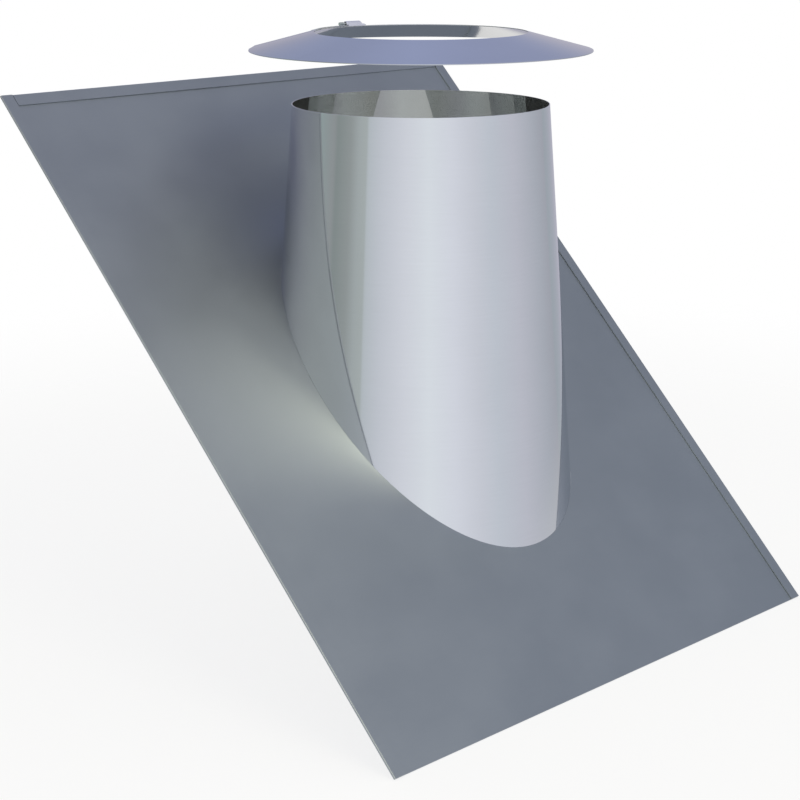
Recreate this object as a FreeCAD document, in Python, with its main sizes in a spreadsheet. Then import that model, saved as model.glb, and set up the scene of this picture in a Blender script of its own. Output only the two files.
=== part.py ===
"""Flashing for a round flue that leaves a pitched roof, with its storm collar lifted off.

A folded base plate lies on the roof. A tapered sleeve stands upright in its opening. The storm collar,
a split conical ring that is drawn tight on the flue pipe by a small worm-drive clamp, hangs above the
sleeve's rim where it would sit on the pipe.

Frame: the flue's axis is Z, up. The origin is where that axis meets the underside of the base plate,
and the roof rises towards +Y. Millimetres and degrees.
"""
import FreeCAD, Part
import os
import Sketcher

SIZES = [
    # roof and base plate
    ("roof_pitch", 45, "slope of the roof, in degrees"),
    ("plate_width", 590, "base plate across the roof"),
    ("plate_length", 730, "base plate along the slope"),
    ("plate_shift", 2.5, "middle of the plate up the slope from the flue's axis"),
    ("plate_sheet", 1.0, "thickness of the base plate's sheet"),
    ("hem_width", 13, "width of the folded hems"),
    ("hem_gap", 0.3, "gap inside a folded hem"),
    ("hem_notch", 0.5, "notch between the top hem and each side hem"),
    # sleeve
    ("rim_radius", 122, "outside radius of the sleeve's rim"),
    ("foot_radius", 141, "outside radius of the sleeve's cone at the origin's level"),
    ("sleeve_height", 251.5, "rim above the origin"),
    ("sleeve_sheet", 0.8, "thickness of the sleeve's sheet"),
    ("foot_joint", 0.1, "joint between the sleeve and the edge of the opening"),
    ("foot_inset", 0.5, "sleeve's foot above the underside of the plate"),
    ("seam_width", 4, "width of the sleeve's seam weld"),
    ("seam_height", 0.3, "height of the seam weld above the sheet"),
    ("seam_start", 3, "seam weld's lower end above the plate"),
    # storm collar
    ("flue_radius", 100, "outside radius of the flue pipe"),
    ("collar_play", 0.5, "collar's inner edge clear of the pipe"),
    ("collar_radius", 161.5, "outer radius of the collar"),
    ("collar_slope", 14.8, "fall of the collar's flare, in degrees"),
    ("collar_sheet", 0.7, "thickness of the collar's sheet"),
    ("collar_lift", 49.7, "collar's outer edge above the sleeve's rim"),
    ("lap_gap", 0.1, "gap between the lapped leaves"),
    ("lap_end_angle", 101, "direction of the upper leaf's free end, in degrees from +X"),
    ("lap_angle", 13, "overlap of the two leaves, in degrees"),
    ("joggle_offset_angle", 9, "from the lower leaf's end to the joggle, in degrees"),
    ("joggle_angle", 5, "joggle that lifts the upper leaf, in degrees"),
    # worm-drive clamp
    ("strap_width", 7.4, "width of the slotted strap"),
    ("strap_sheet", 0.5, "thickness of the strap"),
    ("strap_inset", 1.6, "strap's edge from the collar's inner edge"),
    ("strap_tail_angle", 6.5, "strap past the housing's middle, in degrees"),
    ("strap_anchor_angle", 3, "strap past the lower leaf's end, where it is spot-welded, in degrees"),
    ("slot_count", 14, "slots in the strap"),
    ("slot_angle", 1.5, "slot spacing, in degrees"),
    ("slot_width", 1.3, "slot along the strap"),
    ("slot_length", 4.4, "slot across the strap"),
    ("housing_angle", 18.6, "housing's middle from the upper leaf's end, in degrees"),
    ("housing_length", 19.5, "housing along the strap"),
    ("housing_sheet", 0.5, "thickness of the housing's sheet"),
    ("housing_play", 0.95, "housing clear of the strap's edges"),
    ("housing_slant", 3, "slant of the housing's back end"),
    ("screw_play", 0.1, "screw clear of the strap and the housing"),
    ("worm_radius", 1.9, "radius of the screw's worm"),
    ("screw_flats", 3.2, "screw head across its flats"),
    ("screw_head", 4.5, "length of the screw's head"),
    ("screw_neck", 2.5, "neck between the housing and the head"),
    ("screw_neck_radius", 1.2, "radius of the neck"),
    ("screw_slot", 0.8, "width of the slot in the head"),
    ("screw_slot_depth", 1.0, "depth of the slot in the head"),
]

# Expressions that more than one piece uses. All heights are above the piece's own origin.
TAPER = "(Sizes.foot_radius - Sizes.rim_radius) / Sizes.sleeve_height"
SLEEVE_WALL = "Sizes.sleeve_sheet * sqrt(1 + (%s)^2)" % TAPER
FOOT_REACH = "2 * Sizes.foot_radius * tan(Sizes.roof_pitch)"
HEM_BEND = "(Sizes.plate_sheet + Sizes.hem_gap / 2)"
COLLAR_BORE = "(Sizes.flue_radius + Sizes.collar_play)"
COLLAR_RISE = "tan(Sizes.collar_slope)"
COLLAR_WALL = "Sizes.collar_sheet / cos(Sizes.collar_slope)"
LEAF_LIFT = "(Sizes.collar_sheet + Sizes.lap_gap) / cos(Sizes.collar_slope)"
COLLAR_LEVEL = "Sizes.sleeve_height + Sizes.collar_lift"
LEAF_TURN = "(Sizes.lap_angle + Sizes.joggle_offset_angle)"
HOUSING_TURN = "(Sizes.lap_end_angle - Sizes.housing_angle)"
STRAP_INNER = "(%s + Sizes.strap_inset)" % COLLAR_BORE
STRAP_OUTER = "(%s + Sizes.strap_width)" % STRAP_INNER
STRAP_MIDDLE = "(%s + Sizes.strap_width / 2)" % STRAP_INNER
STRAP_SLOPE_WIDTH = "Sizes.strap_width / cos(Sizes.collar_slope)"
STRAP_TOP = "(Sizes.collar_sheet + Sizes.lap_gap + Sizes.strap_sheet)"
SCREW_LEVEL = "(%s + Sizes.screw_play + Sizes.worm_radius)" % STRAP_TOP
ARCH_RADIUS = "(Sizes.worm_radius + Sizes.screw_play + Sizes.housing_sheet)"
TURNED = "create(<<placement>>; create(<<vector>>; 0; 0; 0); create(<<rotation>>; %s; 0))"

doc = FreeCAD.newDocument("RoofFlashing")
sheet = doc.addObject("Spreadsheet::Sheet", "Sizes")


def fill_sheet():
    """Writes each driving size as a plain number with its alias and meaning."""
    for row, (alias, value, meaning) in enumerate(SIZES, start=1):
        sheet.set("A%d" % row, alias)
        sheet.set("B%d" % row, str(value))
        sheet.setAlias("B%d" % row, alias)
        sheet.set("C%d" % row, meaning)
    doc.recompute()


# ---- sketching helpers -------------------------------------------------------------------------

def origin_feature(body, role):
    """One of a body's own origin planes or axes."""
    return next(item for item in body.Origin.OriginFeatures if item.Role == role)


def new_body(name, x="0", y="0", z="0", yaw="0", roll="0"):
    """A body whose place follows the sizes: turned about Z by yaw, after a roll about its own X."""
    body = doc.addObject("PartDesign::Body", name)
    body.Label = name
    place = "create(<<placement>>; create(<<vector>>; %s; %s; %s); create(<<rotation>>; %s; 0; %s))"
    body.setExpression("Placement", place % (x, y, z, yaw, roll))
    return body


def new_sketch(body, name, role, offset=None):
    """A sketch on one of the body's origin planes, moved by an expression where one is given."""
    sketch = body.newObject("Sketcher::SketchObject", name)
    sketch.AttachmentSupport = [(origin_feature(body, role), "")]
    sketch.MapMode = "FlatFace"
    if offset:
        sketch.setExpression("AttachmentOffset", offset)
    return sketch


def vector(x, y):
    return FreeCAD.Vector(x, y, 0)


def dimension(sketch, kind, elements, expression):
    """A dimension bound to an expression of the sizes."""
    value = float(sketch.evalExpression(expression))
    index = sketch.addConstraint(Sketcher.Constraint(kind, *elements, value))
    name = "size_%d" % index
    sketch.renameConstraint(index, name)
    sketch.setExpression("Constraints." + name, expression)


def locate(sketch, element, point, x, y):
    """Places a point of an element by expressions for its two coordinates."""
    for kind, expression, axis in (("DistanceX", x, -2), ("DistanceY", y, -1)):
        if expression == "0":
            sketch.addConstraint(Sketcher.Constraint("PointOnObject", element, point, axis))
        else:
            dimension(sketch, kind, (-1, 1, element, point), expression)


def outline(sketch, corners):
    """A closed outline of straight lines through corners given as pairs of expressions."""
    points = [vector(*(float(sketch.evalExpression(part)) for part in corner)) for corner in corners]
    first = sketch.GeometryCount
    count = len(points)
    for index in range(count):
        sketch.addGeometry(Part.LineSegment(points[index], points[(index + 1) % count]))
    for index in range(count):
        following = first + (index + 1) % count
        sketch.addConstraint(Sketcher.Constraint("Coincident", first + index, 2, following, 1))
    for index, (x, y) in enumerate(corners):
        locate(sketch, first + index, 1, x, y)


def circle(sketch, x, y, radius):
    """A full circle placed and sized by expressions."""
    middle = vector(float(sketch.evalExpression(x)), float(sketch.evalExpression(y)))
    size = float(sketch.evalExpression(radius))
    index = sketch.addGeometry(Part.Circle(middle, FreeCAD.Vector(0, 0, 1), size))
    locate(sketch, index, 3, x, y)
    dimension(sketch, "Radius", (index,), radius)


def half_turn(sketch, x, y, radius, start):
    """An arc of half a turn, anticlockwise from the angle start."""
    middle = vector(float(sketch.evalExpression(x)), float(sketch.evalExpression(y)))
    size = float(sketch.evalExpression(radius))
    full = Part.Circle(middle, FreeCAD.Vector(0, 0, 1), size)
    begin = FreeCAD.Units.Quantity(start).getValueAs("rad").Value
    end = begin + FreeCAD.Units.Quantity("180 deg").getValueAs("rad").Value
    return sketch.addGeometry(Part.ArcOfCircle(full, begin, end))


# ---- feature helpers ---------------------------------------------------------------------------

def pad(body, name, sketch, length, symmetric=True):
    """Thickens a sketch, to both sides of its plane or to the side that it faces."""
    feature = body.newObject("PartDesign::Pad", name)
    feature.Profile = sketch
    feature.SideType = "Symmetric" if symmetric else "One side"
    feature.setExpression("Length", length)
    doc.recompute()
    return feature


def pocket(body, name, sketch, length=None):
    """Cuts a sketch through the body, to both sides of its plane."""
    before = body.Shape.Volume
    feature = body.newObject("PartDesign::Pocket", name)
    feature.Profile = sketch
    feature.SideType = "Symmetric"
    if length:
        feature.setExpression("Length", length)
    else:
        feature.Type = "ThroughAll"
    doc.recompute()
    if not feature.Shape.Volume < before:
        raise RuntimeError(name + " cuts nothing")
    return feature


def revolve(body, name, sketch, angle, backwards=False):
    """Turns a sketch about its vertical axis."""
    feature = body.newObject("PartDesign::Revolution", name)
    feature.Profile = sketch
    feature.ReferenceAxis = (sketch, ["V_Axis"])
    feature.Reversed = backwards
    feature.setExpression("Angle", angle)
    doc.recompute()
    return feature


# ---- base plate --------------------------------------------------------------------------------

def hem_profile(sketch, edge):
    """Section of a hem: the sheet runs out, bends up through half a turn and comes back over itself."""
    sheet_top = "Sizes.plate_sheet"
    free_end = "%s - Sizes.hem_width" % edge
    bend = "%s - %s" % (edge, HEM_BEND)
    level = [float(sketch.evalExpression(text)) for text in ("0", sheet_top, "2 * " + HEM_BEND)]
    under, top, back = level[0], level[1], level[2]
    inner = back - top
    far, near = (float(sketch.evalExpression(text)) for text in (bend, free_end))
    runs = [((near, under), (far, under)), ((far, back), (near, back)), ((near, back), (near, inner)),
            ((near, inner), (far, inner)), ((far, top), (near, top)), ((near, top), (near, under))]
    out, over, tip, under_leaf, floor, start = (
        sketch.addGeometry(Part.LineSegment(vector(*a), vector(*b))) for a, b in runs)
    outer_bend = half_turn(sketch, bend, HEM_BEND, HEM_BEND, "-90 deg")
    inner_bend = half_turn(sketch, bend, HEM_BEND, "Sizes.hem_gap / 2", "-90 deg")
    join = sketch.addConstraint
    for line in (out, over, under_leaf, floor):
        join(Sketcher.Constraint("Horizontal", line))
    for line in (tip, start):
        join(Sketcher.Constraint("Vertical", line))
    for one, two in ((over, tip), (tip, under_leaf), (floor, start), (start, out)):
        join(Sketcher.Constraint("Coincident", one, 2, two, 1))
    join(Sketcher.Constraint("Tangent", out, 2, outer_bend, 1))
    join(Sketcher.Constraint("Tangent", outer_bend, 2, over, 1))
    join(Sketcher.Constraint("Tangent", under_leaf, 2, inner_bend, 2))
    join(Sketcher.Constraint("Tangent", inner_bend, 1, floor, 1))
    join(Sketcher.Constraint("Coincident", outer_bend, 3, inner_bend, 3))
    locate(sketch, outer_bend, 3, bend, HEM_BEND)
    dimension(sketch, "Radius", (outer_bend,), HEM_BEND)
    dimension(sketch, "Radius", (inner_bend,), "Sizes.hem_gap / 2")
    dimension(sketch, "DistanceX", (-1, 1, tip, 1), free_end)
    dimension(sketch, "DistanceX", (-1, 1, start, 1), free_end)


def base_plate():
    """The roof plate: one folded sheet, hemmed at the top and both sides, open for the sleeve."""
    up_slope = "Sizes.plate_shift * %s(Sizes.roof_pitch)"
    body = new_body("base_plate", y=up_slope % "cos", z=up_slope % "sin", roll="Sizes.roof_pitch")
    side = "Sizes.plate_width / 2"
    top = "Sizes.plate_length / 2"

    blank = new_sketch(body, "SheetOutline", "XY_Plane")
    reach = "%s - %s" % (side, HEM_BEND)
    upper = "%s - %s" % (top, HEM_BEND)
    outline(blank, [("-(%s)" % reach, "-" + top), (reach, "-" + top),
                    (reach, upper), ("-(%s)" % reach, upper)])
    pad(body, "Sheet", blank, "Sizes.plate_sheet", symmetric=False)

    side_section = new_sketch(body, "SideHemSection", "XZ_Plane")
    hem_profile(side_section, side)
    side_hem = pad(body, "SideHem", side_section, "Sizes.plate_length")
    other_side = body.newObject("PartDesign::Mirrored", "OtherSideHem")
    other_side.Originals = [side_hem]
    other_side.MirrorPlane = (origin_feature(body, "YZ_Plane"), [""])
    body.Tip = other_side
    doc.recompute()

    top_section = new_sketch(body, "TopHemSection", "YZ_Plane")
    hem_profile(top_section, top)
    pad(body, "TopHem", top_section, "Sizes.plate_width - 2 * (Sizes.hem_width + Sizes.hem_notch)")

    opening = body.newObject("PartDesign::SubtractiveCone", "Opening")
    opening.AttachmentSupport = [(origin_feature(body, "XY_Plane"), "")]
    opening.MapMode = "FlatFace"
    spread = "(%s) * %s" % (TAPER, FOOT_REACH)
    opening.setExpression("Radius1", "Sizes.foot_radius + Sizes.foot_joint + " + spread)
    opening.setExpression("Radius2", "Sizes.foot_radius + Sizes.foot_joint - " + spread)
    opening.setExpression("Height", "2 * " + FOOT_REACH)
    across = "-(%s) * sin(Sizes.roof_pitch) - Sizes.plate_shift" % FOOT_REACH
    down = "-(%s) * cos(Sizes.roof_pitch)" % FOOT_REACH
    opening.setExpression("AttachmentOffset", "create(<<placement>>; create(<<vector>>; 0; %s; %s); "
                          "create(<<rotation>>; 0; 0; -Sizes.roof_pitch))" % (across, down))
    doc.recompute()
    return body


# ---- sleeve ------------------------------------------------------------------------------------

def flashing_sleeve():
    """The tapered sleeve, rolled from sheet, its foot cut to the slope of the roof."""
    body = new_body("flashing_sleeve")
    low_radius = "Sizes.foot_radius + (%s) * %s" % (TAPER, FOOT_REACH)
    wall = new_sketch(body, "WallSection", "XZ_Plane")
    outline(wall, [(low_radius, "-" + FOOT_REACH),
                   ("Sizes.rim_radius", "Sizes.sleeve_height"),
                   ("Sizes.rim_radius - " + SLEEVE_WALL, "Sizes.sleeve_height"),
                   ("%s - %s" % (low_radius, SLEEVE_WALL), "-" + FOOT_REACH)])
    revolve(body, "Wall", wall, "360")

    # the weld along the back of the rolled sheet, which the roof's upper side hides
    plate_top = "Sizes.plate_sheet / cos(Sizes.roof_pitch)"
    slope = "tan(Sizes.roof_pitch)"
    seam_low = "(Sizes.foot_radius * %s + %s) / (1 + (%s) * %s) + Sizes.seam_start" % (
        slope, plate_top, TAPER, slope)
    low_edge = "Sizes.foot_radius - (%s) * (%s)" % (TAPER, seam_low)
    seam = new_sketch(body, "SeamSection", "YZ_Plane")
    outline(seam, [("%s - Sizes.sleeve_sheet / 2" % low_edge, seam_low),
                   ("%s + Sizes.seam_height" % low_edge, seam_low),
                   ("Sizes.rim_radius + Sizes.seam_height", "Sizes.sleeve_height"),
                   ("Sizes.rim_radius - Sizes.sleeve_sheet / 2", "Sizes.sleeve_height")])
    pad(body, "SeamWeld", seam, "Sizes.seam_width")

    roof = new_sketch(body, "RoofCut", "YZ_Plane")
    span = "2 * Sizes.foot_radius"
    inset = "Sizes.foot_inset / cos(Sizes.roof_pitch)"
    floor = "-(%s) - Sizes.foot_radius" % FOOT_REACH
    outline(roof, [("-" + span, "%s - %s" % (inset, FOOT_REACH)), ("-" + span, floor),
                   (span, floor), (span, "%s + %s" % (inset, FOOT_REACH))])
    pocket(body, "Foot", roof)
    return body


# ---- storm collar ------------------------------------------------------------------------------

def flare_section(sketch, inner, outer, base, wall):
    """Section of a strip that lies on the collar's slope, between two radii."""
    low = "(Sizes.collar_radius - %s) * %s + %s"
    inner_level = low % (inner, COLLAR_RISE, base)
    outer_level = low % (outer, COLLAR_RISE, base)
    outline(sketch, [(inner, inner_level), (outer, outer_level),
                     (outer, "%s + %s" % (outer_level, wall)), (inner, "%s + %s" % (inner_level, wall))])


def storm_collar():
    """The split conical ring: its upper leaf steps up through a joggle and laps over the lower leaf."""
    start = "Sizes.lap_end_angle + %s + Sizes.joggle_angle" % LEAF_TURN
    body = new_body("storm_collar", z=COLLAR_LEVEL, yaw=start)
    ring_section = new_sketch(body, "RingSection", "XZ_Plane")
    flare_section(ring_section, COLLAR_BORE, "Sizes.collar_radius", "0", COLLAR_WALL)
    revolve(body, "Ring", ring_section, "360 - Sizes.joggle_angle - Sizes.joggle_offset_angle")

    leaf_section = new_sketch(body, "LeafSection", "XZ_Plane", TURNED % "0; -Sizes.joggle_angle")
    flare_section(leaf_section, COLLAR_BORE, "Sizes.collar_radius", LEAF_LIFT, COLLAR_WALL)
    joggle = body.newObject("PartDesign::AdditiveLoft", "Joggle")
    joggle.Profile = ring_section
    joggle.Sections = [leaf_section]
    joggle.Ruled = True
    doc.recompute()
    revolve(body, "UpperLeaf", leaf_section, LEAF_TURN, backwards=True)
    return body


# ---- worm-drive clamp --------------------------------------------------------------------------

def clamp_strap():
    """The slotted strap: spot-welded on the upper leaf, it runs through the housing past the lap."""
    tail = "%s - Sizes.strap_tail_angle" % HOUSING_TURN
    length = "Sizes.lap_end_angle + Sizes.lap_angle + Sizes.strap_anchor_angle - (%s)" % tail
    body = new_body("clamp_strap", z=COLLAR_LEVEL, yaw=tail)
    section = new_sketch(body, "StrapSection", "XZ_Plane")
    flare_section(section, STRAP_INNER, STRAP_OUTER, "%s + %s" % (COLLAR_WALL, LEAF_LIFT),
                  "Sizes.strap_sheet / cos(Sizes.collar_slope)")
    revolve(body, "Strap", section, length)

    slot = new_sketch(body, "SlotOutline", "XY_Plane", TURNED % "Sizes.slot_angle; 0")
    near = "%s - Sizes.slot_length / 2" % STRAP_MIDDLE
    far = "%s + Sizes.slot_length / 2" % STRAP_MIDDLE
    outline(slot, [(near, "-Sizes.slot_width / 2"), (far, "-Sizes.slot_width / 2"),
                   (far, "Sizes.slot_width / 2"), (near, "Sizes.slot_width / 2")])
    first = pocket(body, "Slot", slot)
    slots = body.newObject("PartDesign::PolarPattern", "Slots")
    slots.Originals = [first]
    slots.Axis = (origin_feature(body, "Z_Axis"), [""])
    slots.setExpression("Occurrences", "Sizes.slot_count")
    slots.setExpression("Angle", "Sizes.slot_angle * (Sizes.slot_count - 1)")
    body.Tip = slots
    doc.recompute()
    return body


def clamp_body(name):
    """A body on the lower leaf under the screw: X along the strap, Z square to the collar's slope."""
    radius = STRAP_MIDDLE
    level = "%s + (Sizes.collar_radius - %s) * %s + %s" % (COLLAR_LEVEL, radius, COLLAR_RISE, COLLAR_WALL)
    x = "%s * cos(%s)" % (radius, HOUSING_TURN)
    y = "%s * sin(%s)" % (radius, HOUSING_TURN)
    yaw = "%s + 90" % HOUSING_TURN
    return new_body(name, x=x, y=y, z=level, yaw=yaw, roll="Sizes.collar_slope")


def housing_contour(sketch, inset):
    """Half-round arch over the screw, on shoulders that hold the strap. inset is from the outside."""
    half = "%s / 2 + Sizes.housing_play + Sizes.housing_sheet - %s" % (STRAP_SLOPE_WIDTH, inset)
    arch = "%s - %s" % (ARCH_RADIUS, inset)
    shoulder = "%s + Sizes.screw_play + Sizes.housing_sheet - %s" % (STRAP_TOP, inset)
    corners = [("-(%s)" % arch, SCREW_LEVEL), ("-(%s)" % arch, shoulder),
               ("-(%s)" % half, shoulder), ("-(%s)" % half, inset),
               (half, inset), (half, shoulder), (arch, shoulder), (arch, SCREW_LEVEL)]
    points = [vector(*(float(sketch.evalExpression(part)) for part in corner)) for corner in corners]
    lines = [sketch.addGeometry(Part.LineSegment(a, b)) for a, b in zip(points, points[1:])]
    for one, two in zip(lines, lines[1:]):
        sketch.addConstraint(Sketcher.Constraint("Coincident", one, 2, two, 1))
    for line, (x, y) in zip(lines, corners):
        locate(sketch, line, 1, x, y)
    top = half_turn(sketch, "0", SCREW_LEVEL, arch, "0 deg")
    sketch.addConstraint(Sketcher.Constraint("Tangent", lines[-1], 2, top, 1))
    sketch.addConstraint(Sketcher.Constraint("Coincident", top, 2, lines[0], 1))
    locate(sketch, top, 3, "0", SCREW_LEVEL)


def clamp_housing():
    """The pressed housing, open at both ends, whose floor is spot-welded to the lower leaf."""
    body = clamp_body("clamp_housing")
    section = new_sketch(body, "HousingSection", "YZ_Plane")
    housing_contour(section, "0")
    housing_contour(section, "Sizes.housing_sheet")
    pad(body, "Shell", section, "Sizes.housing_length")

    back = "-Sizes.housing_length / 2"
    clear = "Sizes.housing_slant"
    top = "%s + %s" % (SCREW_LEVEL, ARCH_RADIUS)
    slant = new_sketch(body, "BackSlant", "XZ_Plane")
    outline(slant, [("%s - %s" % (back, clear), STRAP_TOP), (back, STRAP_TOP),
                    ("%s + Sizes.housing_slant" % back, top),
                    ("%s + Sizes.housing_slant" % back, "%s + %s" % (top, clear)),
                    ("%s - %s" % (back, clear), "%s + %s" % (top, clear))])
    pocket(body, "BackEnd", slant)
    return body


def clamp_screw():
    """The worm screw: a slotted hexagon head outside the housing, a neck and the worm inside it."""
    body = clamp_body("clamp_screw")
    worm = new_sketch(body, "WormOutline", "YZ_Plane")
    circle(worm, "0", SCREW_LEVEL, "Sizes.worm_radius")
    pad(body, "Worm", worm, "Sizes.housing_length - 2 * Sizes.housing_slant")

    start = "Sizes.housing_length / 2 - Sizes.housing_slant"
    moved = "create(<<placement>>; create(<<vector>>; 0; 0; %s); create(<<rotation>>; 0; 0; 0))"
    neck = new_sketch(body, "NeckOutline", "YZ_Plane", moved % start)
    circle(neck, "0", SCREW_LEVEL, "Sizes.screw_neck_radius")
    pad(body, "Neck", neck, "Sizes.housing_slant + Sizes.screw_neck", symmetric=False)

    head_start = "Sizes.housing_length / 2 + Sizes.screw_neck"
    head = new_sketch(body, "HeadOutline", "YZ_Plane", moved % head_start)
    corner = "Sizes.screw_flats / 2 / cos(30)"
    outline(head, [("%s * cos(%d)" % (corner, turn), "%s + %s * sin(%d)" % (SCREW_LEVEL, corner, turn))
                   for turn in range(0, 360, 60)])
    pad(body, "Head", head, "Sizes.screw_head", symmetric=False)

    end = "%s + Sizes.screw_head" % head_start
    slot = new_sketch(body, "SlotOutline", "XY_Plane")
    outline(slot, [("%s - Sizes.screw_slot_depth" % end, "-Sizes.screw_slot / 2"),
                   ("%s + Sizes.screw_slot_depth" % end, "-Sizes.screw_slot / 2"),
                   ("%s + Sizes.screw_slot_depth" % end, "Sizes.screw_slot / 2"),
                   ("%s - Sizes.screw_slot_depth" % end, "Sizes.screw_slot / 2")])
    pocket(body, "DriverSlot", slot)
    return body


# ---- build, check and write --------------------------------------------------------------------

def check(bodies):
    """Stops if any object failed or any piece isn't one sound solid."""
    for item in doc.Objects:
        if "Invalid" in item.State or "Error" in item.State:
            raise RuntimeError("%s failed: %s" % (item.Label, item.State))
        if item.isDerivedFrom("Sketcher::SketchObject") and item.solve() != 0:
            raise RuntimeError(item.Label + " doesn't solve")
    for body in bodies:
        shape = body.Shape
        if shape.isNull() or not shape.isValid() or len(shape.Solids) != 1:
            raise RuntimeError(body.Label + " isn't one sound solid")


fill_sheet()
pieces = [base_plate(), flashing_sleeve(), storm_collar(), clamp_strap(), clamp_housing(), clamp_screw()]
doc.recompute()
check(pieces)
os.makedirs("parts", exist_ok=True)
for piece in pieces:
    piece.Shape.exportStep("parts/%s.step" % piece.Label)
    box = piece.Shape.BoundBox
    print("%-16s volume %10.1f  x %.1f..%.1f  y %.1f..%.1f  z %.1f..%.1f" % (
        piece.Label, piece.Shape.Volume, box.XMin, box.XMax, box.YMin, box.YMax, box.ZMin, box.ZMax))
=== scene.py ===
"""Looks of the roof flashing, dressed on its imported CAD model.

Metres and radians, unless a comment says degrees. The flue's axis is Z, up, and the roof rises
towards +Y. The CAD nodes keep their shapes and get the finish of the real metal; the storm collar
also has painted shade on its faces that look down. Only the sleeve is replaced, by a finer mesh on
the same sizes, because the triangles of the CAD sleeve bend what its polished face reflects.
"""
import math
import bpy
from mathutils import Matrix, Vector

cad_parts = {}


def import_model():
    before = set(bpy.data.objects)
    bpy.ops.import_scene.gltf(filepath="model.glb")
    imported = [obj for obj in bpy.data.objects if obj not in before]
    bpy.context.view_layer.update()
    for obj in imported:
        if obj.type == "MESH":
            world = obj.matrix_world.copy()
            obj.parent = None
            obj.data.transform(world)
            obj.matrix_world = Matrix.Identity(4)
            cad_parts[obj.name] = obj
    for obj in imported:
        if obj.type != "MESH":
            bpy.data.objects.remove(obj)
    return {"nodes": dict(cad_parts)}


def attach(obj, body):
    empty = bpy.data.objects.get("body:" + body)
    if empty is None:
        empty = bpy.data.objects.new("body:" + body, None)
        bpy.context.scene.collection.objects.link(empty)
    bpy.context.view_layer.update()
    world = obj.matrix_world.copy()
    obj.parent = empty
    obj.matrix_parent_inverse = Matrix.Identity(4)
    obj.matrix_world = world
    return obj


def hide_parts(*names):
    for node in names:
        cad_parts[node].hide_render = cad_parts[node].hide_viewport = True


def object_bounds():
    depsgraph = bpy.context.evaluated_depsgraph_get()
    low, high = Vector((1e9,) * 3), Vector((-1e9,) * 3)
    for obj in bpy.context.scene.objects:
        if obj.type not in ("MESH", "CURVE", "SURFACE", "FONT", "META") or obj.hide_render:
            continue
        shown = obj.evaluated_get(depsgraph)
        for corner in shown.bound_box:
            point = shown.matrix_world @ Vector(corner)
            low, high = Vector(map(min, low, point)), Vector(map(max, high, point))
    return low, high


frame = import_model()
CAD_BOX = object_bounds()


# ---- finishes ----------------------------------------------------------------------------------

# Scale of the grain's noise in the sheet's three directions: the lines run along the least one.
ROOF_GRAIN = (60.0, 900.0, 900.0)
ROLLED_GRAIN = (30.0, 1400.0, 1400.0)
FINE_GRAIN = (900.0, 900.0, 900.0)
FINEST_GRAIN = (2500.0, 2500.0, 2500.0)

# dull is the least and the most roughness, depth how deep the grain is, blotch the spread of the
# colour, wave how deep the waviness is, metal the metallic share, and below the darker colour
# put on the faces that look down, a painted shade. A rolled sheet has its grain round Z.
FINISHES = {
    "plate_finish": dict(
        colour=(0.442, 0.477, 0.53), dull=(0.46, 0.53),
        grain=ROOF_GRAIN, depth=2e-5, blotch=0.03, wave=6e-5),
    "collar_finish": dict(
        # below: painted shade, a darker colour on the collar's faces that look down
        colour=(0.64, 0.66, 0.73), dull=(0.05, 0.09), below=(0.46, 0.475, 0.48),
        rolled=True, grain=ROLLED_GRAIN, depth=3e-6, blotch=0.02, wave=2e-5),
    "strap_finish": dict(
        colour=(0.60, 0.63, 0.66), dull=(0.22, 0.32), grain=FINE_GRAIN, depth=1e-5),
    "housing_finish": dict(
        colour=(0.86, 0.86, 0.98), dull=(0.3, 0.4), metal=0.75, grain=FINE_GRAIN, depth=1e-5),
    "screw_finish": dict(
        colour=(0.74, 0.78, 0.77), dull=(0.2, 0.3), metal=0.85, grain=FINEST_GRAIN, depth=8e-6),
    "sleeve_finish": dict(
        colour=(0.70, 0.72, 0.765), dull=(0.05, 0.065),
        rolled=True, grain=ROLLED_GRAIN, depth=3e-7, blotch=0.01, wave=2e-5),
    # The sleeve's inside face: its colour is darker than the outside's, a painted shade of the
    # bore.
    "sleeve_inside_painted_shade": dict(
        colour=(0.60, 0.62, 0.62), dull=(0.015, 0.03), metal=0.955,
        rolled=True, grain=ROLLED_GRAIN, depth=6e-7, blotch=0.02, wave=1e-5),
    "seam_finish": dict(
        colour=(0.58, 0.60, 0.62), dull=(0.25, 0.35), grain=FINE_GRAIN, depth=1e-5),
}
NODE_FINISHES = {
    "base_plate": "plate_finish", "storm_collar": "collar_finish", "clamp_strap": "strap_finish",
    "clamp_housing": "housing_finish", "clamp_screw": "screw_finish",
}
SLEEVE_FINISHES = ("sleeve_finish", "sleeve_inside_painted_shade", "seam_finish")
OUTSIDE, INSIDE, WELD = range(3)        # their places in the sleeve's mesh

GRAIN_NOISE = dict(scale=1.0, detail=4.0, roughness=0.6)
GRAIN_SPAN = (0.25, 0.75)               # the noise's values from the darkest line to the lightest
GRAIN_DARKEST = 0.98                    # share of the colour that the darkest line keeps
CLOUD_NOISE = dict(scale=9.0, detail=3.0, roughness=0.55)
CLOUD_SPAN = (0.3, 0.7)
DULL_SHARES = (0.6, 0.4)                # of the clouds and of the grain, in the roughness
DULL_SPAN = (0.3, 0.7)
SWELL_NOISE = dict(scale=5.0, detail=1.0, roughness=0.4)
# Painted shade: a face whose normal points lower than this takes the darker below colour.
UNDERSIDE_SHADE_TURN = (-0.1, 0.1)                # height of the normal where a face turns from down to up
ROLLED_RADIUS = 0.13                    # mean radius of the rolled sheets


# ---- sleeve, on the sizes of its CAD solid -----------------------------------------------------

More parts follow.
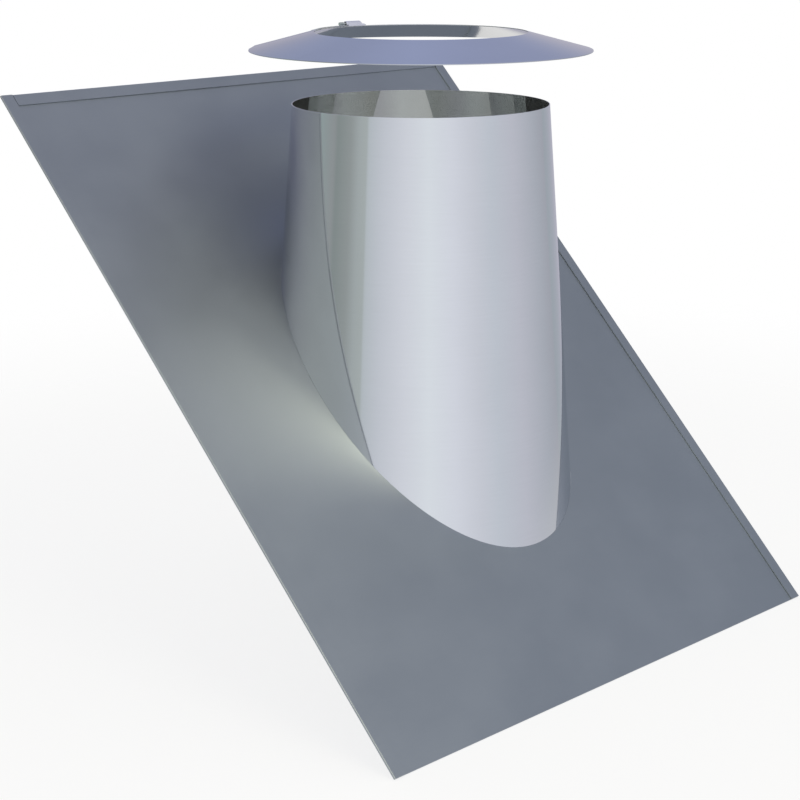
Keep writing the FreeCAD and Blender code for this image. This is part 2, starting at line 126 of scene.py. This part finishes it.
ROOF_PITCH = math.radians(45)
FOOT_RADIUS = 0.141                     # on the level of the origin
RIM_RADIUS = 0.122
RIM_LEVEL = 0.2515
SLEEVE_SHEET = 0.0008
FOOT_INSET = 0.0005                     # the foot ends this far above the plate's underside
SLEEVE_STEPS = 720
SHARP_FROM = math.radians(40)           # an edge that bends further than this stays sharp
SLOPE = math.tan(ROOF_PITCH)
TAPER = (FOOT_RADIUS - RIM_RADIUS) / RIM_LEVEL
WALL = SLEEVE_SHEET * math.hypot(1.0, TAPER)    # the sheet's thickness, measured level

SEAM_PLATE = 0.001                      # thickness of the plate that the weld starts above
SEAM_START = 0.003
SEAM_SHORT = 0.0003                     # the weld ends just under the rim
SEAM_WIDTH = 0.004
SEAM_HEIGHT = 0.0003
SEAM_RIPPLE = 0.0016                    # height of one ripple
RIPPLE_BOW = 0.5                        # how far a ripple bows up its middle, in ripples
RIPPLE_DEPTH = 0.15                     # share of the weld's height
SEAM_ROWS = 480
SEAM_COLUMNS = 10


# ---- studio ------------------------------------------------------------------------------------

# Panels that the metal mirrors, in three rings: (compass direction in degrees from +X, colour).
STUDIO_LOW = [
    (0, (0.44, 0.48, 0.51)), (30, (0.51, 0.50, 0.58)), (60, (0.38, 0.38, 0.47)),
    (95, (0.38, 0.42, 0.45)), (127, (0.37, 0.44, 0.42)), (144, (0.37, 0.39, 0.38)),
    (148, (0.31, 0.35, 0.33)), (162, (0.38, 0.41, 0.39)), (170, (0.48, 0.52, 0.50)),
    (178.0, (0.52, 0.56, 0.53)), (178.7, (0.62, 0.66, 0.67)), (192, (0.73, 0.75, 0.78)),
    (212, (0.86, 0.87, 0.90)), (231, (0.94, 0.97, 0.98)), (251, (0.89, 0.90, 0.94)),
    (271, (0.78, 0.79, 0.83)), (286, (0.71, 0.74, 0.78)), (310, (0.67, 0.67, 0.72)),
    (340, (0.53, 0.55, 0.59)), (356, (0.47, 0.48, 0.52)),
]
STUDIO_HIGH = [
    (0, (0.24, 0.24, 0.31)), (45, (0.39, 0.435, 0.61)), (96, (0.10, 0.10, 0.09)),
    (148, (0.25, 0.26, 0.21)), (200, (0.95, 0.96, 0.87)), (240, (0.95, 0.96, 0.74)),
    (285, (0.40, 0.41, 0.44)), (320, (0.37, 0.41, 0.53)), (345, (0.29, 0.33, 0.33)),
]
STUDIO_BELOW = [
    (0, (0.84, 0.82, 0.78)), (40, (0.97, 0.96, 0.95)), (80, (1.0, 1.0, 1.0)),
    (120, (0.80, 0.78, 0.82)), (180, (0.72, 0.72, 0.70)), (240, (0.90, 0.91, 0.92)),
    (300, (0.72, 0.72, 0.74)),
]
STUDIO_TOP = (0.28, 0.27, 0.37)
STUDIO_RISE = (0.06, 0.42)              # Z of the ray over which the low ring turns into the high
STUDIO_CROWN = (0.78, 0.95)             # the high ring into the top
STUDIO_FALL = (-0.20, -0.33)            # the low ring into the one below
DAYLIGHT = 0.85                         # plain light on everything that isn't metal
WHITE = (1.0, 1.0, 1.0)

KEY_DIRECTION = (255, 50)               # compass direction and height, in degrees
KEY_DISTANCE = 2.6
KEY_SIZE = 1.3
KEY_POWER = 13.0                        # watts
KEY_COLOUR = (1.0, 0.96, 0.70)

FLOOR_REACH = 3.0
FLOOR_DROP = 0.0005
FLOOR_FADE = (0.7, 1.6)                 # distance over which the floor fades out
FLOOR_COLOUR = (0.82, 0.82, 0.83)
FLOOR_SPREAD = 0.01                     # how far the speckle goes from the colour, either way
FLOOR_SPECKLE = 40.0                    # scale of its noise
FLOOR_WHITE = 0.80                      # share of plain white in what the camera sees of the floor

CAMERA_PLACE = (-1.31265, -1.26864, 0.44963)
CAMERA_TURN = -45.3626                  # degrees
CAMERA_TILT = 14.9869                   # degrees down from level
CAMERA_LENS = 86.39                     # mm
CAMERA_SENSOR = 36.0                    # mm


# ---- helpers -----------------------------------------------------------------------------------

class Tree:
    """Adds nodes to one node tree. An input is a number or colour to set, or a socket to link."""

    def __init__(self, owner):
        owner.use_nodes = True
        self.tree = owner.node_tree
        self.tree.nodes.clear()

    def add(self, kind, inputs=None, **settings):
        node = self.tree.nodes.new(kind)
        for name, value in settings.items():
            setattr(node, name, value)
        for key, value in (inputs or {}).items():
            if isinstance(value, bpy.types.NodeSocket):
                self.tree.links.new(value, node.inputs[key])
            else:
                node.inputs[key].default_value = value
        return node

    def math(self, operation, *values):
        return self.add("ShaderNodeMath", dict(enumerate(values)), operation=operation).outputs[0]

    def remap(self, value, low, high, to_low=0.0, to_high=1.0, shape="SMOOTHSTEP"):
        inputs = {"Value": value, "From Min": low, "From Max": high,
                  "To Min": to_low, "To Max": to_high}
        return self.add("ShaderNodeMapRange", inputs, interpolation_type=shape).outputs["Result"]

    def mix(self, factor, one, two, blend="MIX"):
        """Mixes two colours. The sockets go by number, because several share each name."""
        inputs = {0: factor, 6: one, 7: two}
        return self.add("ShaderNodeMix", inputs, data_type="RGBA", blend_type=blend).outputs[2]

    def noise(self, vector, scale, detail=2.0, roughness=0.5):
        inputs = {"Vector": vector, "Scale": scale, "Detail": detail, "Roughness": roughness}
        return self.add("ShaderNodeTexNoise", inputs).outputs["Fac"]

    def stretched(self, vector, scale):
        inputs = {"Vector": vector, "Scale": scale}
        return self.add("ShaderNodeMapping", inputs).outputs["Vector"]

    def coordinates(self, kind):
        return self.add("ShaderNodeTexCoord").outputs[kind]

    def parts(self, vector):
        return self.add("ShaderNodeSeparateXYZ", {"Vector": vector}).outputs

    def bump(self, height, depth, **under):
        inputs = {"Strength": 1.0, "Distance": depth, "Height": height, **under}
        return self.add("ShaderNodeBump", inputs).outputs["Normal"]

    def ramp(self, value, stops):
        """A colour that follows value through (place, colour) stops."""
        node = self.add("ShaderNodeValToRGB", {"Fac": value})
        elements = node.color_ramp.elements
        while len(elements) < len(stops):
            elements.new(1.0)
        for element, (place, colour) in zip(elements, stops):
            element.position = place
            element.color = opaque(colour)
        return node.outputs["Color"]


def opaque(colour, share=1.0):
    return tuple(channel * share for channel in colour) + (1.0,)


def direction(compass, height):
    turn, rise = math.radians(compass), math.radians(height)
    reach = math.cos(rise)
    return Vector((math.cos(turn) * reach, math.sin(turn) * reach, math.sin(rise)))


def add_object(name, data):
    piece = bpy.data.objects.new(name, data)
    bpy.context.scene.collection.objects.link(piece)
    return piece


# ---- metal -------------------------------------------------------------------------------------

def rolled_place(tree):
    """Place on a sheet rolled round Z: round it, up it, and out of it."""
    part = tree.parts(tree.coordinates("Object"))
    turn = tree.math("ARCTAN2", part["Y"], part["X"])
    squares = [tree.math("MULTIPLY", part[axis], part[axis]) for axis in "XY"]
    inputs = {"X": tree.math("MULTIPLY", turn, ROLLED_RADIUS), "Y": part["Z"],
              "Z": tree.math("SQRT", tree.math("ADD", *squares))}
    return tree.add("ShaderNodeCombineXYZ", inputs).outputs[0]


def sheet_metal(name, colour, dull, grain, depth, rolled=False, blotch=0.05, wave=0.0, metal=1.0,
                below=None):
    """Sheet metal: a drawn grain, soft blotches of colour and dullness, a slight waviness, and,
    where below is given, painted shade on the faces that look down.
    """
    material = bpy.data.materials.new(name)
    tree = Tree(material)
    place = rolled_place(tree) if rolled else tree.coordinates("Object")
    lines = tree.noise(tree.stretched(place, grain), **GRAIN_NOISE)
    cloud = tree.noise(place, **CLOUD_NOISE)

    tint = tree.mix(tree.remap(cloud, *CLOUD_SPAN),
                    opaque(colour, 1 - blotch), opaque(colour, 1 + blotch))
    # Painted shade: faces that look down get the darker below colour in place of the metal's own.
    if below:
        facing = tree.parts(tree.coordinates("Normal"))["Z"]
        tint = tree.mix(tree.remap(facing, *UNDERSIDE_SHADE_TURN), opaque(below), tint)
    fleck = tree.mix(tree.remap(lines, *GRAIN_SPAN), opaque(WHITE, GRAIN_DARKEST), opaque(WHITE))
    shade = tree.mix(1.0, tint, fleck, "MULTIPLY")

    shares = [tree.math("MULTIPLY", *pair) for pair in zip((cloud, lines), DULL_SHARES)]
    roughness = tree.remap(tree.math("ADD", *shares), *DULL_SPAN, *dull)
    normal = tree.bump(lines, depth)
    if wave:
        normal = tree.bump(tree.noise(place, **SWELL_NOISE), wave, Normal=normal)
    shader = tree.add("ShaderNodeBsdfPrincipled", {
        "Base Color": shade, "Metallic": metal, "Roughness": roughness, "Normal": normal})
    tree.add("ShaderNodeOutputMaterial", {"Surface": shader.outputs[0]})
    return material


def dress_nodes():
    """Gives each CAD node that stays its finish."""
    for node, finish in NODE_FINISHES.items():
        materials = frame["nodes"][node].data.materials
        materials.clear()
        materials.append(sheet_metal(finish, **FINISHES[finish]))


# ---- sleeve ------------------------------------------------------------------------------------

def foot_level(radius, turn, lift):
    """Level where the cone with this foot radius meets the roof's plane raised by lift."""
    rise = SLOPE * math.sin(turn)
    return (radius * rise + lift / math.cos(ROOF_PITCH)) / (1.0 + TAPER * rise)


def rolled_wall():
    """Vertices of the sleeve's wall, and its faces as (corners, finish)."""
    vertices, faces = [], []
    # Each step has the outer foot, the outer rim, the inner foot and the inner rim, in this order.
    strips = ((0, 1, OUTSIDE), (1, 3, OUTSIDE), (3, 2, INSIDE), (2, 0, OUTSIDE))
    for step in range(SLEEVE_STEPS):
        turn = math.tau * step / SLEEVE_STEPS
        for radius in (FOOT_RADIUS, FOOT_RADIUS - WALL):
            for level in (foot_level(radius, turn, FOOT_INSET), RIM_LEVEL):
                reach = radius - TAPER * level
                vertices.append((reach * math.cos(turn), reach * math.sin(turn), level))
        here, there = 4 * step, 4 * ((step + 1) % SLEEVE_STEPS)
        for one, two, finish in strips:
            faces.append(((here + one, there + one, there + two, here + two), finish))
    return vertices, faces


def weld(first):
    """The rippled weld up the back, closed inside the wall. Its vertices count from first."""
    vertices, faces = [], []
    ring = SEAM_COLUMNS + 2
    start = foot_level(FOOT_RADIUS, math.pi / 2, SEAM_PLATE) + SEAM_START
    top = RIM_LEVEL - SEAM_SHORT
    for row in range(SEAM_ROWS + 1):
        level = start + (top - start) * row / SEAM_ROWS
        reach = FOOT_RADIUS - TAPER * level
        for column in range(SEAM_COLUMNS + 1):
            across = 2.0 * column / SEAM_COLUMNS - 1.0
            ripple = math.cos(math.tau * (level / SEAM_RIPPLE + RIPPLE_BOW * across * across))
            share = 1.0 - RIPPLE_DEPTH + RIPPLE_DEPTH * ripple
            x = across * SEAM_WIDTH / 2
            y = math.sqrt(reach * reach - x * x) + SEAM_HEIGHT * (1.0 - across * across) * share
            vertices.append((x, y, level))
        vertices.append((0.0, reach - WALL / 2, level))
    for row in range(SEAM_ROWS):
        low = first + row * ring
        for column in range(ring):
            after = (column + 1) % ring
            corners = (low + column, low + ring + column, low + ring + after, low + after)
            faces.append((corners, WELD))
    last = first + SEAM_ROWS * ring
    faces.append((tuple(range(first, first + ring)), WELD))
    faces.append((tuple(range(last + ring - 1, last - 1, -1)), WELD))
    return vertices, faces


def sleeve():
    """The rolled sleeve with a fine round wall, and the weld up its back."""
    vertices, faces = rolled_wall()
    more_vertices, more_faces = weld(len(vertices))
    corners, finishes = zip(*faces, *more_faces)
    mesh = bpy.data.meshes.new("sleeve")
    mesh.from_pydata(vertices + more_vertices, [], corners)
    for finish in SLEEVE_FINISHES:
        mesh.materials.append(sheet_metal(finish, **FINISHES[finish]))
    mesh.polygons.foreach_set("material_index", finishes)
    mesh.shade_smooth()
    mesh.set_sharp_from_angle(angle=SHARP_FROM)
    piece = add_object("sleeve", mesh)
    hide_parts("flashing_sleeve")
    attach(piece, "root")


# ---- scene -------------------------------------------------------------------------------------

def world():
    """White behind the object, rings of soft panels in the metal, and plain daylight elsewhere."""
    studio = bpy.data.worlds.new("studio")
    bpy.context.scene.world = studio
    tree = Tree(studio)
    part = tree.parts(tree.coordinates("Generated"))
    turn = tree.math("ARCTAN2", part["Y"], part["X"])
    compass = tree.math("FRACT", tree.remap(turn, -math.pi, math.pi, -0.5, 0.5, "LINEAR"))
    rings = []
    for stops in (STUDIO_LOW, STUDIO_HIGH, STUDIO_BELOW):
        closed = stops + [(360, stops[0][1])]
        rings.append(tree.ramp(compass, [(angle / 360, colour) for angle, colour in closed]))
    low, high, below = rings
    panels = tree.mix(tree.remap(part["Z"], *STUDIO_RISE), low, high)
    panels = tree.mix(tree.remap(part["Z"], *STUDIO_CROWN), panels, opaque(STUDIO_TOP))
    panels = tree.mix(tree.remap(part["Z"], *STUDIO_FALL), panels, below)
    rays = tree.add("ShaderNodeLightPath").outputs
    shown = tree.mix(rays["Is Glossy Ray"], opaque(WHITE, DAYLIGHT), panels)
    plain = tree.math("MAXIMUM", rays["Is Camera Ray"], rays["Is Transmission Ray"])
    shown = tree.mix(plain, shown, opaque(WHITE))
    light = tree.add("ShaderNodeBackground", {"Color": shown, "Strength": 1.0})
    tree.add("ShaderNodeOutputWorld", {"Surface": light.outputs[0]})


def key_light():
    """One large soft warm lamp, high in front."""
    data = bpy.data.lights.new("key", "AREA")
    data.shape = "DISK"
    data.size = KEY_SIZE
    data.energy = KEY_POWER
    data.color = KEY_COLOUR
    lamp = add_object("key", data)
    towards = direction(*KEY_DIRECTION)
    lamp.location = towards * KEY_DISTANCE
    lamp.rotation_euler = towards.to_track_quat("Z", "Y").to_euler()


def floor_finish():
    """Pale and matt, keeps the shadow, fades out far away, and isn't mirrored in the metal."""
    material = bpy.data.materials.new("floor_finish")
    tree = Tree(material)
    place = tree.coordinates("Object")
    level_place = tree.stretched(place, (1.0, 1.0, 0.0))
    reach = tree.add("ShaderNodeVectorMath", {0: level_place}, operation="LENGTH").outputs["Value"]
    fade = tree.remap(reach, *FLOOR_FADE)
    rays = tree.add("ShaderNodeLightPath").outputs
    darker = opaque(FLOOR_COLOUR, 1 - FLOOR_SPREAD)
    lighter = opaque(FLOOR_COLOUR, 1 + FLOOR_SPREAD)
    paint = tree.mix(tree.noise(place, FLOOR_SPECKLE), darker, lighter)
    matt = tree.add("ShaderNodeBsdfDiffuse", {"Color": paint}).outputs[0]
    white = tree.add("ShaderNodeEmission", {"Color": opaque(WHITE), "Strength": 1.0}).outputs[0]
    clear = tree.add("ShaderNodeBsdfTransparent").outputs[0]
    share = tree.math("MULTIPLY", rays["Is Camera Ray"], FLOOR_WHITE)
    seen = tree.add("ShaderNodeMixShader", {0: share, 1: matt, 2: white}).outputs[0]
    hidden = tree.math("MAXIMUM", fade, rays["Is Glossy Ray"])
    mixed = tree.add("ShaderNodeMixShader", {0: hidden, 1: seen, 2: clear}).outputs[0]
    tree.add("ShaderNodeOutputMaterial", {"Surface": mixed})
    return material


def floor():
    """A plain pale floor that fades into the white and keeps the object's shadow."""
    level = CAD_BOX[0].z - FLOOR_DROP
    corners = [(x * FLOOR_REACH, y * FLOOR_REACH, level)
               for x, y in ((-1, -1), (1, -1), (1, 1), (-1, 1))]
    mesh = bpy.data.meshes.new("floor")
    mesh.from_pydata(corners, [], [(0, 1, 2, 3)])
    mesh.materials.append(floor_finish())
    piece = add_object("floor", mesh)


def camera():
    data = bpy.data.cameras.new("camera")
    data.lens = CAMERA_LENS
    data.sensor_width = CAMERA_SENSOR
    piece = add_object("camera", data)
    turn = Matrix.Rotation(math.radians(CAMERA_TURN), 3, "Z")
    tilt = Matrix.Rotation(math.radians(90 - CAMERA_TILT), 3, "X")
    piece.matrix_world = Matrix.Translation(CAMERA_PLACE) @ (turn @ tilt).to_4x4()
    bpy.context.scene.camera = piece


dress_nodes()
sleeve()
world()
key_light()
floor()
camera()
bpy.context.scene.view_settings.view_transform = "Standard"
